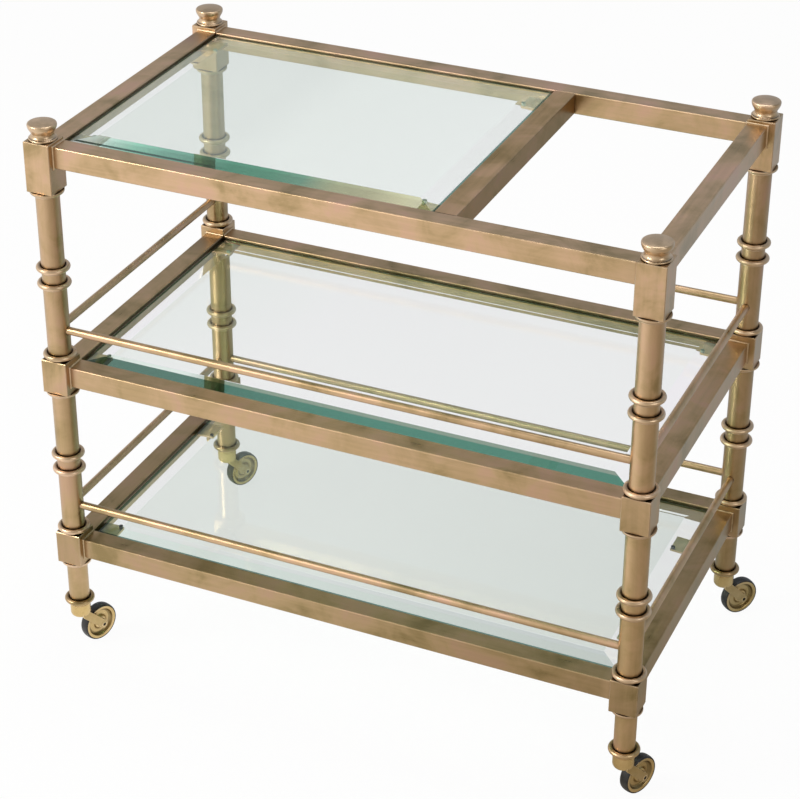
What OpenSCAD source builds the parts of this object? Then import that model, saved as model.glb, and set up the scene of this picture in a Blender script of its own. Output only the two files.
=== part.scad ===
// Three-tier serving trolley: square-tube rails between turned corner posts,
// bevelled glass shelves, round gallery rods and four swivelling wheels.
// The top tier is glazed on the left of a cross bar and open on its right.
// Origin: on the floor, under the middle of the footprint.
// +X runs along the long side, +Y towards the back and +Z up. Millimetres.

/* [Frame] */
// Distance between the post axes along the long side
post_span_x = 722; // [600:1:900]
// Distance between the post axes across the short side
post_span_y = 396; // [320:1:600]
// Clear height between the low and the middle corner blocks
lower_gap = 200; // [170:1:300]
// Clear height between the middle and the top corner blocks
upper_gap = 218.2; // [170:0.1:300]
// Clear width of the open bay to the right of the cross bar
bay_w = 208.5; // [120:0.5:260]

/* [Corner blocks] */
// Width of the square corner blocks
block_w = 33.5; // [31:0.5:40]
// Height of the top corner blocks
top_block_h = 62; // [50:1:80]
// Height of the middle and low corner blocks
block_h = 44; // [38:1:60]
// Chamfer along the edges of the blocks
block_edge = 0.8; // [0.4:0.1:2]

/* [Rails] */
// Width of the rails, seen from above
rail_w = 24.8; // [20:0.2:28]
// Height of the rails
rail_h = 26; // [20:0.5:32]
// Wall of the rails
rail_wall = 1.5; // [1:0.1:2.5]
// Outer corner radius of the rails
rail_round = 1.4; // [0.6:0.1:1.4]
// Width of the cross bar of the top tier
cross_w = 26; // [20:0.5:32]
// Step from the top of a top block down to its rails
top_drop = 4.6; // [2:0.1:12]
// Step from the top of a middle or low block down to its rails
low_drop = 8.5; // [2:0.1:12]

/* [Posts] */
// Outer diameter of the post tubes
tube_d = 28; // [25:0.5:31]
// Wall of the post tubes
tube_wall = 1.5; // [1:0.1:3]
// Diameter of the foot pieces under the low blocks
foot_d = 25.5; // [22:0.5:28]
// Length of a foot piece, from the low block to the underside of its ring
foot_len = 62.6; // [60:0.1:100]
// Diameter of the threaded rod inside each post
tie_d = 8; // [6:0.5:10]
// Length that a threaded rod reaches into the finial and the foot piece
tie_grip = 12; // [8:1:14]

/* [Collars] */
// Outer diameter of the collars on the post tubes
collar_d = 40.2; // [38:0.2:44]
// Outer diameter of the collar under a low block and of the ring on a foot
foot_ring_d = 37.4; // [35:0.2:42]
// Thickness of the round bead of a collar
bead_t = 6.2; // [5:0.1:7]
// Width of the shadow groove between a bead and its tube
groove_w = 1.2; // [0.6:0.1:1.4]
// Depth of the shadow groove
groove_depth = 2.6; // [1.5:0.1:3]
// Radial step of the neck under a bead
neck_step = 1.3; // [0.6:0.1:1.4]
// Height of the neck under the beads in the middle of a tube
neck_h = 2.2; // [1:0.1:4]
// Height of the neck between a block and the bead above it
seat_h = 1.5; // [0.8:0.1:4]
// Height of the bead's middle under a block's underside
under_h = 1.1; // [0.5:0.1:2.5]
// Distance between the two beads in the middle of a tube
bead_pitch = 20.8; // [14:0.2:40]

/* [Finials] */
// Height of a finial
finial_h = 21.5; // [20:0.5:32]
// How much wider a finial's cap is than its block
finial_over = 0.5; // [-3:0.5:4]
// How much narrower a finial's base is than its block
finial_inset = 0.4; // [0:0.2:3]
// Depth of a finial's waist, inwards from the edge of its base
finial_waist = 3.5; // [2.5:0.1:5]

/* [Gallery rods] */
// Diameter of the gallery rods
rod_d = 9.5; // [6:0.5:12]
// Height of the rods' axis above the block below
rod_rise = 37.6; // [25:0.1:80]
// Length of a rod inside its post tube, measured at its axis
rod_seat = 3; // [2:0.5:5]
// Clearance round a rod in the wall of a post tube
rod_clear = 0.3; // [0.1:0.05:0.5]

/* [Glass shelves] */
// Thickness of the glass
glass_t = 5; // [4:0.5:8]
// Thickness left at the edge of the glass by its bevel
glass_edge_t = 2.5; // [1.5:0.5:3.5]
// Width of the bevel
bevel_w = 27; // [10:1:35]
// Gap between the glass and the rails
glass_gap = 1.5; // [0.8:0.1:3]
// Step from the rails' top down to the glass of the top tier
top_recess = 1; // [0.5:0.1:4]
// Step from the rails' top down to the glass of the middle and low tiers
low_recess = 2; // [0.5:0.1:4]

/* [Glass lugs] */
// Length of a lug away from its rail
lug_w = 26; // [15:1:40]
// Length of a lug along its rail
lug_len = 30; // [20:1:45]
// Thickness of a lug
lug_t = 2.5; // [2:0.5:4]
// Distance from the front rail to the lugs of the top tier and on the left
lug_front = 1; // [1:1:80]
// Distance from the front rail to the right-hand lugs of the middle and low tiers
lug_front_right = 66; // [1:1:80]
// Distance from the back rail to the lugs, top tier
lug_back_top = 16; // [1:1:80]
// Distance from the back rail to the lugs, middle tier
lug_back_mid = 2; // [1:1:80]
// Distance from the back rail to the lugs, low tier
lug_back_low = 67; // [1:1:80]
// Diameter of the soft disc between a lug and the glass
bumper_d = 5; // [4:0.5:10]
// Thickness of the soft disc
bumper_h = 2.5; // [1.5:0.5:4]

/* [Casters] */
// Height from the floor to the underside of the foot pieces
caster_h = 72.2; // [70:0.1:90]
// Diameter of the wheels
wheel_d = 49; // [40:0.5:54]
// Width of the tyres
tyre_w = 12.5; // [10:0.5:14]
// Thickness of the tyre outside the wheel's rim
tyre_t = 1.7; // [1.2:0.1:3]
// Distance from the swivel axis to the wheel's axle
trail = 26.4; // [22:0.1:34]
// Outer diameter of the swivel cup
cup_d = 25.3; // [24:0.1:30]
// Height of the swivel cup
cup_h = 22.4; // [18:0.1:26]
// Radius of the cup's lower edge
cup_round = 5; // [2:0.5:6]
// Width over the outer faces of the two fork arms
fork_w = 23.8; // [22:0.2:28]
// Thickness of a fork arm
arm_t = 2.8; // [2:0.1:3.5]
// Width of a fork arm
arm_w = 10.9; // [9:0.1:13]
// Height of the arms' upper end above the floor
arm_root_z = 52; // [50:0.5:60]
// Diameter of the axle
axle_d = 5; // [4:0.5:6]
// Diameter of the swivel stem
stem_d = 9.5; // [8:0.5:11]
// Length of the swivel stem above its cup
stem_len = 38; // [30:1:42]
// Direction of the front left wheel's trail, anticlockwise from +X
yaw_fl = 70.4; // [0:0.1:360]
// Direction of the front right wheel's trail
yaw_fr = 65.5; // [0:0.1:360]
// Direction of the back right wheel's trail
yaw_br = 51.6; // [0:0.1:360]
// Direction of the back left wheel's trail
yaw_bl = 67.0; // [0:0.1:360]

/* [Hidden] */
$fn = 64;

// Colours of the finishes
brass = [0.66, 0.54, 0.41];
yellow_brass = [0.68, 0.57, 0.36];
steel = [0.62, 0.62, 0.6];
glass_tint = [0.78, 0.88, 0.86, 0.45];
black_rubber = [0.09, 0.09, 0.1];

// Corners in the order front left, front right, back right, back left
corners = [0, 1, 2, 3];
corner_names = ["fl", "fr", "br", "bl"];
side_x = [-1, 1, 1, -1];
side_y = [-1, -1, 1, 1];
yaws = [yaw_fl, yaw_fr, yaw_br, yaw_bl];

// Tiers in the order top, middle, low
tier_names = ["top", "mid", "low"];
top_tier = 0;
mid_tier = 1;
low_tier = 2;

// Running and slip clearances
run_clear = 0.05;   // radial, between a turning shaft and its bore
slip = 0.02;        // radial, between fixed pieces pushed over each other
lift = 0.3;         // between the turning cup and the foot above it
tie_clear = 0.3;    // radial, round a threaded rod in a block
bore_end = 1;       // space left beyond the end of a rod or stem
cut = 1;            // overshoot of a cutting tool past a face

// Half spans and radii
post_x = post_span_x / 2;
post_y = post_span_y / 2;
block_half = block_w / 2;
inner_x = post_x - block_half;
inner_y = post_y - block_half;
tube_r = tube_d / 2;
foot_r = foot_d / 2;
bead_r = bead_t / 2;
wheel_r = wheel_d / 2;

// Heights of the corner blocks and of the rails' top faces
low_block_z = caster_h + foot_len;
mid_block_z = low_block_z + block_h + lower_gap;
top_block_z = mid_block_z + block_h + upper_gap;
top_z = top_block_z + top_block_h;
rail_tops = [
    top_z - top_drop,
    mid_block_z + block_h - low_drop,
    low_block_z + block_h - low_drop
];
glass_recess = [top_recess, low_recess, low_recess];
lug_back = [lug_back_top, lug_back_mid, lug_back_low];

// Right-hand limit of the glass on each tier, at a rail's or the bar's face
cross_right = inner_x - bay_w;
cross_left = cross_right - cross_w;
pane_right = [cross_left, inner_x, inner_x];

// Footprint of the posts' collars and the wheels, and its middle
function reach_x(c) = trail * cos(yaws[c]) + wheel_r * abs(cos(yaws[c])) * side_x[c]
    + tyre_w / 2 * abs(sin(yaws[c])) * side_x[c];
function reach_y(c) = trail * sin(yaws[c]) + wheel_r * abs(sin(yaws[c])) * side_y[c]
    + tyre_w / 2 * abs(cos(yaws[c])) * side_y[c];
collar_r = collar_d / 2;
right_end = post_x + max(collar_r, reach_x(1), reach_x(2));
left_end = -post_x + min(-collar_r, reach_x(0), reach_x(3));
back_end = post_y + max(collar_r, reach_y(2), reach_y(3));
front_end = -post_y + min(-collar_r, reach_y(0), reach_y(1));
mid_x = (right_end + left_end) / 2;
mid_y = (back_end + front_end) / 2;

// Points of an arc from angle a0 to a1
function arc(cx, cy, r, a0, a1, steps = 14) =
    [for (i = [0 : steps])
        let (a = a0 + (a1 - a0) * i / steps)
        [cx + r * cos(a), cy + r * sin(a)]];

// Rectangle with rounded corners, centred
function rounded_rect(w, h, r) = concat(
    arc(w / 2 - r, h / 2 - r, r, 0, 90, 4),
    arc(-w / 2 + r, h / 2 - r, r, 90, 180, 4),
    arc(-w / 2 + r, -h / 2 + r, r, 180, 270, 4),
    arc(w / 2 - r, -h / 2 + r, r, 270, 360, 4));

// Square with cut corners, centred
function cut_square(w, h, e) = [
    [w / 2, h / 2 - e], [w / 2 - e, h / 2], [-w / 2 + e, h / 2], [-w / 2, h / 2 - e],
    [-w / 2, -h / 2 + e], [-w / 2 + e, -h / 2], [w / 2 - e, -h / 2], [w / 2, -h / 2 + e]];

// Places its children with the frame's middle over the origin
module in_frame() {
    translate([-mid_x, -mid_y, 0]) children();
}

// Places its children on the axis of post c
module at_post(c) {
    in_frame() translate([side_x[c] * post_x, side_y[c] * post_y, 0]) children();
}

// Places its children at caster c, with +X along the wheel's trail
module at_caster(c) {
    at_post(c) rotate([0, 0, yaws[c]]) children();
}

// Lays a part that stands along Z along X, its Y axis pointing up
module along_x() {
    rotate([90, 0, 90]) children();
}

// Lays a part that stands along Z along Y, its Y axis pointing up
module along_y() {
    rotate([90, 0, 180]) children();
}

// ---- rails ----

module tube_section(w) {
    difference() {
        polygon(rounded_rect(w, rail_h, rail_round));
        square([w - 2 * rail_wall, rail_h - 2 * rail_wall], center = true);
    }
}

// Rail along X, on the front (s = -1) or back (s = 1) side of a tier
module rail_x(tier, s) {
    color(brass) in_frame()
        translate([0, s * (inner_y + rail_w / 2), rail_tops[tier] - rail_h / 2])
        along_x() linear_extrude(2 * inner_x, center = true) tube_section(rail_w);
}

// Rail along Y, on the left (s = -1) or right (s = 1) side of a tier
module rail_y(tier, s) {
    color(brass) in_frame()
        translate([s * (inner_x + rail_w / 2), 0, rail_tops[tier] - rail_h / 2])
        along_y() linear_extrude(2 * inner_y, center = true) tube_section(rail_w);
}

module cross_bar() {
    color(brass) in_frame()
        translate([cross_left + cross_w / 2, 0, rail_tops[top_tier] - rail_h / 2])
        along_y() linear_extrude(2 * inner_y, center = true) tube_section(cross_w);
}

// ---- corner posts ----

// Block with chamfered edges, standing on z = 0
module corner_block(h) {
    difference() {
        translate([0, 0, h / 2]) intersection() {
            linear_extrude(h, center = true) polygon(cut_square(block_w, block_w, block_edge));
            along_x() linear_extrude(block_w, center = true)
                polygon(cut_square(block_w, h, block_edge));
            along_y() linear_extrude(block_w, center = true)
                polygon(cut_square(block_w, h, block_edge));
        }
        translate([0, 0, -cut]) cylinder(d = tie_d + 2 * tie_clear, h = h + 2 * cut);
    }
}

module blocks(c) {
    color(brass) at_post(c) {
        translate([0, 0, low_block_z]) corner_block(block_h);
        translate([0, 0, mid_block_z]) corner_block(block_h);
        translate([0, 0, top_block_z]) corner_block(top_block_h);
    }
}

// Tube on top of a block, holed for the two gallery rods that end in it
module post_tube(c, length) {
    difference() {
        cylinder(r = tube_r, h = length);
        translate([0, 0, -cut]) cylinder(r = tube_r - tube_wall, h = length + 2 * cut);
        translate([0, 0, rod_rise]) {
            rotate([0, -side_x[c] * 90, 0]) cylinder(d = rod_d + 2 * rod_clear, h = tube_r + cut);
            rotate([side_y[c] * 90, 0, 0]) cylinder(d = rod_d + 2 * rod_clear, h = tube_r + cut);
        }
    }
}

// Foot piece with its ring at the bottom, bored for the stem and the threaded rod
module foot_piece() {
    ring_axis_r = foot_ring_d / 2 - bead_r;
    ring_bore = stem_d / 2 + 2 * cut;
    difference() {
        union() {
            cylinder(r = foot_r, h = foot_len);
            rotate_extrude() polygon(concat(
                [[ring_bore, 0]],
                arc(ring_axis_r, bead_r, bead_r, -90, groove_angle(foot_r, ring_axis_r)),
                [[foot_r + groove_w, bead_t - groove_depth],
                 [ring_bore, bead_t - groove_depth]]));
        }
        translate([0, 0, -cut])
            cylinder(d = stem_d + 2 * run_clear, h = cut + stem_len - lift + bore_end);
        translate([0, 0, foot_len - tie_grip - bore_end])
            cylinder(d = tie_d + 2 * run_clear, h = tie_grip + bore_end + cut);
    }
}

module tubes(c) {
    color(brass) at_post(c) {
        translate([0, 0, caster_h]) foot_piece();
        translate([0, 0, low_block_z + block_h]) post_tube(c, lower_gap);
        translate([0, 0, mid_block_z + block_h]) post_tube(c, upper_gap);
    }
}

// ---- collars: a round bead over a neck, slipped over a tube ----

// Angle on the bead's circle where it meets the groove or the neck
function groove_angle(r, axis_r) = acos((r + groove_w - axis_r) / bead_r);
function neck_angle(r, axis_r) = acos((r + neck_step - axis_r) / bead_r);

// Collar with a shadow groove on top; z = 0 is the middle of its bead
module grooved_collar(r, outer_r, foot) {
    axis_r = outer_r - bead_r;
    bore = r + slip;
    rotate_extrude() polygon(concat(
        [[bore, -bead_r - foot], [r + neck_step, -bead_r - foot]],
        arc(axis_r, 0, bead_r, -neck_angle(r, axis_r), groove_angle(r, axis_r)),
        [[r + groove_w, bead_r - groove_depth], [bore, bead_r - groove_depth]]));
}

// Collar cut flat on top, pressed up against a block; z = 0 is the cut
module flat_collar(r, outer_r) {
    axis_r = outer_r - bead_r;
    bore = r + slip;
    bottom = -under_h - bead_r - neck_h;
    rotate_extrude() polygon(concat(
        [[bore, bottom], [r + neck_step, bottom]],
        arc(axis_r, -under_h, bead_r, -neck_angle(r, axis_r), asin(under_h / bead_r)),
        [[bore, 0]]));
}

// The four collars on one tube: under the block above, two at mid length, over the block below
module tube_collars(length) {
    translate([0, 0, seat_h + bead_r]) grooved_collar(tube_r, collar_r, seat_h);
    for (s = [-1, 1])
        translate([0, 0, length / 2 + s * bead_pitch / 2])
            grooved_collar(tube_r, collar_r, neck_h);
    translate([0, 0, length]) flat_collar(tube_r, collar_r);
}

module collars(c) {
    color(brass) at_post(c) {
        translate([0, 0, low_block_z]) flat_collar(foot_r, foot_ring_d / 2);
        translate([0, 0, low_block_z + block_h]) tube_collars(lower_gap);
        translate([0, 0, mid_block_z + block_h]) tube_collars(upper_gap);
    }
}

// ---- finials ----

// Turned outline: rounded lip, cove up to the waist, swelling cap and shallow dome
lip_r = 1.5;
lip_groove = 0.4;
cove_r = 4.4;
cove_foot = 240;    // angles on the cove's circle where it leaves the lip and the cap
cove_head = 150;
cap_swell = 9.5;
cap_foot = -30;
brow_r = 2.2;
brow_end = 75;
dome_rise = 1.5;

function finial_outline() =
    let (
        base_r = (block_w - finial_inset) / 2,
        cap_r = (block_w + finial_over) / 2,
        cove_x = base_r - finial_waist + cove_r,
        cove_z = 2 * lip_r + lip_groove - cove_r * sin(cove_foot),
        brow_z = finial_h - dome_rise - brow_r * sin(brow_end),
        dome_edge = cap_r - brow_r + brow_r * cos(brow_end)
    )
    concat(
        [[0, 0]],
        arc(base_r - lip_r, lip_r, lip_r, -90, 90, 8),
        [[base_r - lip_r - lip_groove, 2 * lip_r],
         [base_r - lip_r - lip_groove, 2 * lip_r + lip_groove]],
        arc(cove_x, cove_z, cove_r, cove_foot, cove_head, 10),
        arc(cap_r - cap_swell, brow_z, cap_swell, cap_foot, 0, 6),
        arc(cap_r - brow_r, brow_z, brow_r, 0, brow_end, 6),
        [for (i = [1 : 6])
            let (t = i / 6)
            [dome_edge * (1 - t), finial_h - dome_rise * pow(1 - t, 2)]]);

module finial(c) {
    color(brass) at_post(c) translate([0, 0, top_z]) difference() {
        rotate_extrude() polygon(finial_outline());
        translate([0, 0, -cut]) cylinder(d = tie_d + 2 * run_clear, h = cut + tie_grip + bore_end);
    }
}

module tie_rods() {
    bottom = low_block_z - tie_grip;
    color(steel)
        for (c = corners)
            at_post(c) translate([0, 0, bottom]) cylinder(d = tie_d, h = top_z + tie_grip - bottom);
}

// ---- gallery rods ----

// Height of the rods over the blocks of a tier
rod_heights = [0, mid_block_z + block_h + rod_rise, low_block_z + block_h + rod_rise];
rod_end = tube_r - rod_seat;

module gallery_x(tier, s) {
    color(brass) in_frame() translate([0, s * post_y, rod_heights[tier]])
        along_x() cylinder(d = rod_d, h = 2 * (post_x - rod_end), center = true);
}

module gallery_y(tier, s) {
    color(brass) in_frame() translate([s * post_x, 0, rod_heights[tier]])
        along_y() cylinder(d = rod_d, h = 2 * (post_y - rod_end), center = true);
}

// ---- glass shelves and what carries them ----

// Side view of a pane of length l: flat below, bevelled at both ends above
function pane_profile(l) = [
    [-l / 2, 0], [l / 2, 0], [l / 2, glass_edge_t], [l / 2 - bevel_w, glass_t],
    [-l / 2 + bevel_w, glass_t], [-l / 2, glass_edge_t]];

function glass_bottom(tier) = rail_tops[tier] - glass_recess[tier] - glass_t;

module glass_pane(tier) {
    x0 = -inner_x + glass_gap;
    x1 = pane_right[tier] - glass_gap;
    length = x1 - x0;
    width = 2 * (inner_y - glass_gap);
    color(glass_tint) in_frame() translate([(x0 + x1) / 2, 0, glass_bottom(tier)])
        intersection() {
            along_x() linear_extrude(length, center = true) polygon(pane_profile(width));
            along_y() linear_extrude(width, center = true) polygon(pane_profile(length));
        }
}

// Distance from the front or back rail to a lug
function lug_inset(tier, sx, sy) =
    sy > 0 ? lug_back[tier] : sx > 0 && tier != top_tier ? lug_front_right : lug_front;

// Places its children at the four lugs of a tier, mirrored so that +X points
// away from the rail and +Y away from the front or back rail
module at_lugs(tier) {
    in_frame()
        for (sx = [-1, 1], sy = [-1, 1])
            translate([sx < 0 ? -inner_x : pane_right[tier], sy * (inner_y - lug_inset(tier, sx, sy)),
                       glass_bottom(tier) - bumper_h])
                mirror([sx < 0 ? 0 : 1, 0, 0]) mirror([0, sy < 0 ? 0 : 1, 0]) children();
}

module glass_lugs() {
    color(brass)
        for (tier = [top_tier, mid_tier, low_tier])
            at_lugs(tier) translate([0, 0, -lug_t]) cube([lug_w, lug_len, lug_t]);
}

module glass_bumpers() {
    edge = bumper_d / 2 + 0.5;
    color(black_rubber)
        for (tier = [top_tier, mid_tier, low_tier])
            at_lugs(tier) translate([lug_w - edge, lug_len - edge, 0])
                cylinder(d = bumper_d, h = bumper_h);
}

// ---- casters ----

arm_angle = atan2(arm_root_z - wheel_r, trail);
arm_length = norm([arm_root_z - wheel_r, trail]);
arm_y = fork_w / 2 - arm_t / 2;
cup_top = caster_h - lift;

module arm_outline() {
    difference() {
        union() {
            translate([0, arm_root_z]) {
                circle(d = arm_w);
                rotate(-arm_angle) translate([0, -arm_w / 2]) square([arm_length, arm_w]);
            }
            translate([trail, wheel_r]) circle(d = arm_w);
        }
        translate([trail, wheel_r]) circle(d = axle_d + 2 * slip);
    }
}

// Swivel cup with its stem and the two arms that hold the axle
module caster_fork(c) {
    cup_r = cup_d / 2;
    stem_edge = 1;
    color(yellow_brass) at_caster(c) {
        union() {
            translate([0, 0, cup_top - cup_h]) rotate_extrude() polygon(concat(
                [[0, 0]],
                arc(cup_r - cup_round, cup_round, cup_round, -90, 0, 8),
                [[cup_r, cup_h], [stem_d / 2, cup_h],
                 [stem_d / 2, cup_h + stem_len - stem_edge],
                 [stem_d / 2 - stem_edge, cup_h + stem_len], [0, cup_h + stem_len]]));
            for (s = [-1, 1])
                translate([0, s * arm_y, 0]) rotate([90, 0, 0])
                    linear_extrude(arm_t, center = true) arm_outline();
        }
    }
}

// Rivet through both arms and the wheel, hollow at its ends
module caster_axle(c) {
    overhang = 0.3;
    hollow_wall = 0.8;
    hollow_depth = 3;
    length = fork_w + 2 * overhang;
    color(yellow_brass) at_caster(c) translate([trail, 0, wheel_r]) rotate([90, 0, 0])
        difference() {
            cylinder(d = axle_d, h = length, center = true);
            for (s = [-1, 1])
                translate([0, 0, s * length / 2])
                    cylinder(d = axle_d - 2 * hollow_wall, h = 2 * hollow_depth, center = true);
        }
}

// Dished wheel disc: hub, boss, dish, flat rim and a channel for the tyre
hub_half = fork_w / 2 - arm_t - lift;
hub_wall = 3.9;
hub_r = axle_d / 2 + hub_wall;
hub_edge = 0.4;
boss_step = 1.8;
boss_half = tyre_w / 2 - 1.2;
dish_half = 1.6;
dish_corner = 1.2;
rim_r = wheel_r - tyre_t;
rim_w = 3;
rim_half = tyre_w / 2 - 0.3;
channel_side = 2.2;
channel_half = tyre_w / 2 - channel_side;
channel_depth = 2.4;

// Half of the disc's section, from the bore out to the tyre's channel
function wheel_half() = [
    [axle_d / 2 + run_clear, hub_half], [hub_r - hub_edge, hub_half], [hub_r, hub_half - hub_edge],
    [hub_r, boss_half], [hub_r + boss_step, boss_half - hub_edge],
    [hub_r + boss_step + dish_corner, dish_half],
    [rim_r - rim_w - 2 * dish_corner, dish_half],
    [rim_r - rim_w - dish_corner, dish_half + dish_corner / 2],
    [rim_r - rim_w, rim_half], [rim_r, rim_half],
    [rim_r, channel_half], [rim_r - channel_depth, channel_half]];

function mirrored(points) = [for (i = [len(points) - 1 : -1 : 0]) [points[i][0], -points[i][1]]];

module caster_wheel(c) {
    color(yellow_brass) at_caster(c) translate([trail, 0, wheel_r]) rotate([90, 0, 0])
        rotate_extrude() polygon(concat(wheel_half(), mirrored(wheel_half())));
}

// Crowned tyre with a root in the wheel's channel; a higher tread_power squares its shoulders
tread_power = 2.6;
tread_steps = 8;

module caster_tyre(c) {
    inner_r = rim_r + slip;
    half = concat(
        [[rim_r - channel_depth + slip, channel_half - slip], [inner_r, channel_half - slip]],
        [for (i = [0 : tread_steps])
            let (a = 90 * i / tread_steps)
            [inner_r + (wheel_r - inner_r) * pow(sin(a), 2 / tread_power),
             tyre_w / 2 * pow(cos(a), 2 / tread_power)]]);
    color(black_rubber) at_caster(c) translate([trail, 0, wheel_r]) rotate([90, 0, 0])
        rotate_extrude() polygon(concat(half, mirrored(half)));
}

// ---- all pieces ----

rail_x(top_tier, -1);  // rail_top_front
rail_x(top_tier, 1);  // rail_top_back
rail_y(top_tier, -1);  // rail_top_left
rail_y(top_tier, 1);  // rail_top_right
cross_bar();  // rail_top_cross
rail_x(mid_tier, -1);  // rail_mid_front
rail_x(mid_tier, 1);  // rail_mid_back
rail_y(mid_tier, -1);  // rail_mid_left
rail_y(mid_tier, 1);  // rail_mid_right
rail_x(low_tier, -1);  // rail_low_front
rail_x(low_tier, 1);  // rail_low_back
rail_y(low_tier, -1);  // rail_low_left
rail_y(low_tier, 1);  // rail_low_right
glass_pane(top_tier);  // glass_top
glass_pane(mid_tier);  // glass_mid
glass_pane(low_tier);  // glass_low
gallery_x(mid_tier, -1);  // gallery_mid_front
gallery_x(mid_tier, 1);  // gallery_mid_back
gallery_y(mid_tier, -1);  // gallery_mid_left
gallery_y(mid_tier, 1);  // gallery_mid_right
gallery_x(low_tier, -1);  // gallery_low_front
gallery_x(low_tier, 1);  // gallery_low_back
gallery_y(low_tier, -1);  // gallery_low_left
gallery_y(low_tier, 1);  // gallery_low_right
for (c = corners) blocks(c);
for (c = corners) tubes(c);
for (c = corners) collars(c);
for (c = corners) finial(c);
tie_rods();
glass_lugs();
glass_bumpers();
for (c = corners) caster_fork(c);
for (c = corners) caster_axle(c);
for (c = corners) caster_wheel(c);
for (c = corners) caster_tyre(c);
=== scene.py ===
import math

import bmesh
import bpy
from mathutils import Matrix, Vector


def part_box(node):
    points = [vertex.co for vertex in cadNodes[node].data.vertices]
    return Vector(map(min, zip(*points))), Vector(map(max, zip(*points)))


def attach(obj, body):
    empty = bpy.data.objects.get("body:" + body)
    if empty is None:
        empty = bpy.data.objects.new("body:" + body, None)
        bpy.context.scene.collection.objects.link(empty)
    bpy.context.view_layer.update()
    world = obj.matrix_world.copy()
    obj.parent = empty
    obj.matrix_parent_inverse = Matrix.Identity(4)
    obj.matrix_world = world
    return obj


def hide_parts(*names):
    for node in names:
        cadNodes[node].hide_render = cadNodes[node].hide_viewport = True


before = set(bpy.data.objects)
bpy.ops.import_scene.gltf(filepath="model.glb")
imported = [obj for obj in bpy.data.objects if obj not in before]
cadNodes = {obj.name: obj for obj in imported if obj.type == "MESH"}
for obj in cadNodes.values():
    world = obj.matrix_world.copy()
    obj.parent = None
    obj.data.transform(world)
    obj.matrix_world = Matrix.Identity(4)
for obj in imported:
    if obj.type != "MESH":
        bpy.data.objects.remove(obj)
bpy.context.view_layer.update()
corners = ("fl", "fr", "br", "bl")
tiers = ("top", "mid", "low")
print("frame loaded:", len(cadNodes), "solids")


# building blocks for shaders and objects

noiseSpan = (0.3, 0.7)    # a noise texture seldom leaves this range


def newObject(name, data):
    made = bpy.data.objects.new(name, data)
    bpy.context.scene.collection.objects.link(made)
    return made


def newMaterial(name):
    mat = bpy.data.materials.new(name)
    mat.use_nodes = True
    return mat, mat.node_tree.nodes["Principled BSDF"]


def addNode(mat, kind, inputs=None, **settings):
    node = mat.node_tree.nodes.new(kind)
    for key, value in settings.items():
        setattr(node, key, value)
    for socket, value in (inputs or {}).items():
        if isinstance(value, bpy.types.NodeSocket):
            mat.node_tree.links.new(value, node.inputs[socket])
        else:
            node.inputs[socket].default_value = value
    return node


def wire(mat, source, target):
    mat.node_tree.links.new(source, target)


def objectPoint(mat, stretch=(1, 1, 1)):
    point = addNode(mat, "ShaderNodeTexCoord").outputs["Object"]
    return addNode(mat, "ShaderNodeMapping", {"Vector": point, "Scale": stretch}).outputs[0]


def noise(mat, vector, scale, detail=3.0, rough=0.5, twist=0.0):
    node = addNode(mat, "ShaderNodeTexNoise", {
        "Vector": vector, "Scale": scale, "Detail": detail, "Roughness": rough, "Distortion": twist})
    return node.outputs["Fac"]


def remap(mat, value, low, high, start=0.0, end=1.0):
    node = addNode(mat, "ShaderNodeMapRange", {
        "Value": value, "From Min": low, "From Max": high, "To Min": start, "To Max": end})
    return node.outputs["Result"]


def math2(mat, operation, a, b):
    return addNode(mat, "ShaderNodeMath", {0: a, 1: b}, operation=operation).outputs[0]


def wander(mat, value, reach):
    return math2(mat, "MULTIPLY", math2(mat, "SUBTRACT", value, 0.5), reach)


def axisValue(mat, vector, axis):
    return addNode(mat, "ShaderNodeSeparateXYZ", {0: vector}).outputs[axis]


def blendColour(mat, factor, a, b, mode="MIX"):
    node = addNode(mat, "ShaderNodeMix", data_type="RGBA", blend_type=mode)
    for socket, value in ((0, factor), (6, a), (7, b)):
        if isinstance(value, bpy.types.NodeSocket):
            wire(mat, value, node.inputs[socket])
        else:
            node.inputs[socket].default_value = value
    return node.outputs[2]


def multiplied(mat, colour, by):
    return blendColour(mat, 1.0, colour, by, "MULTIPLY")


def mixShaders(mat, share, first, second):
    return addNode(mat, "ShaderNodeMixShader", {0: share, 1: first, 2: second}).outputs[0]


def raiseSurface(mat, surface, height, strength, depth):
    bump = addNode(mat, "ShaderNodeBump", {"Height": height, "Strength": strength, "Distance": depth})
    wire(mat, bump.outputs["Normal"], surface.inputs["Normal"])


def outlet(mat):
    return mat.node_tree.nodes["Material Output"].inputs["Surface"]


def ramp(mat, value, stops):
    node = addNode(mat, "ShaderNodeValToRGB", {"Fac": value})
    marks = node.color_ramp.elements
    while len(marks) < len(stops):
        marks.new(0.5)
    for mark, (place, colour) in zip(marks, stops):
        mark.position = place
        mark.color = colour
    return node.outputs["Color"]


# brass finishes

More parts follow.
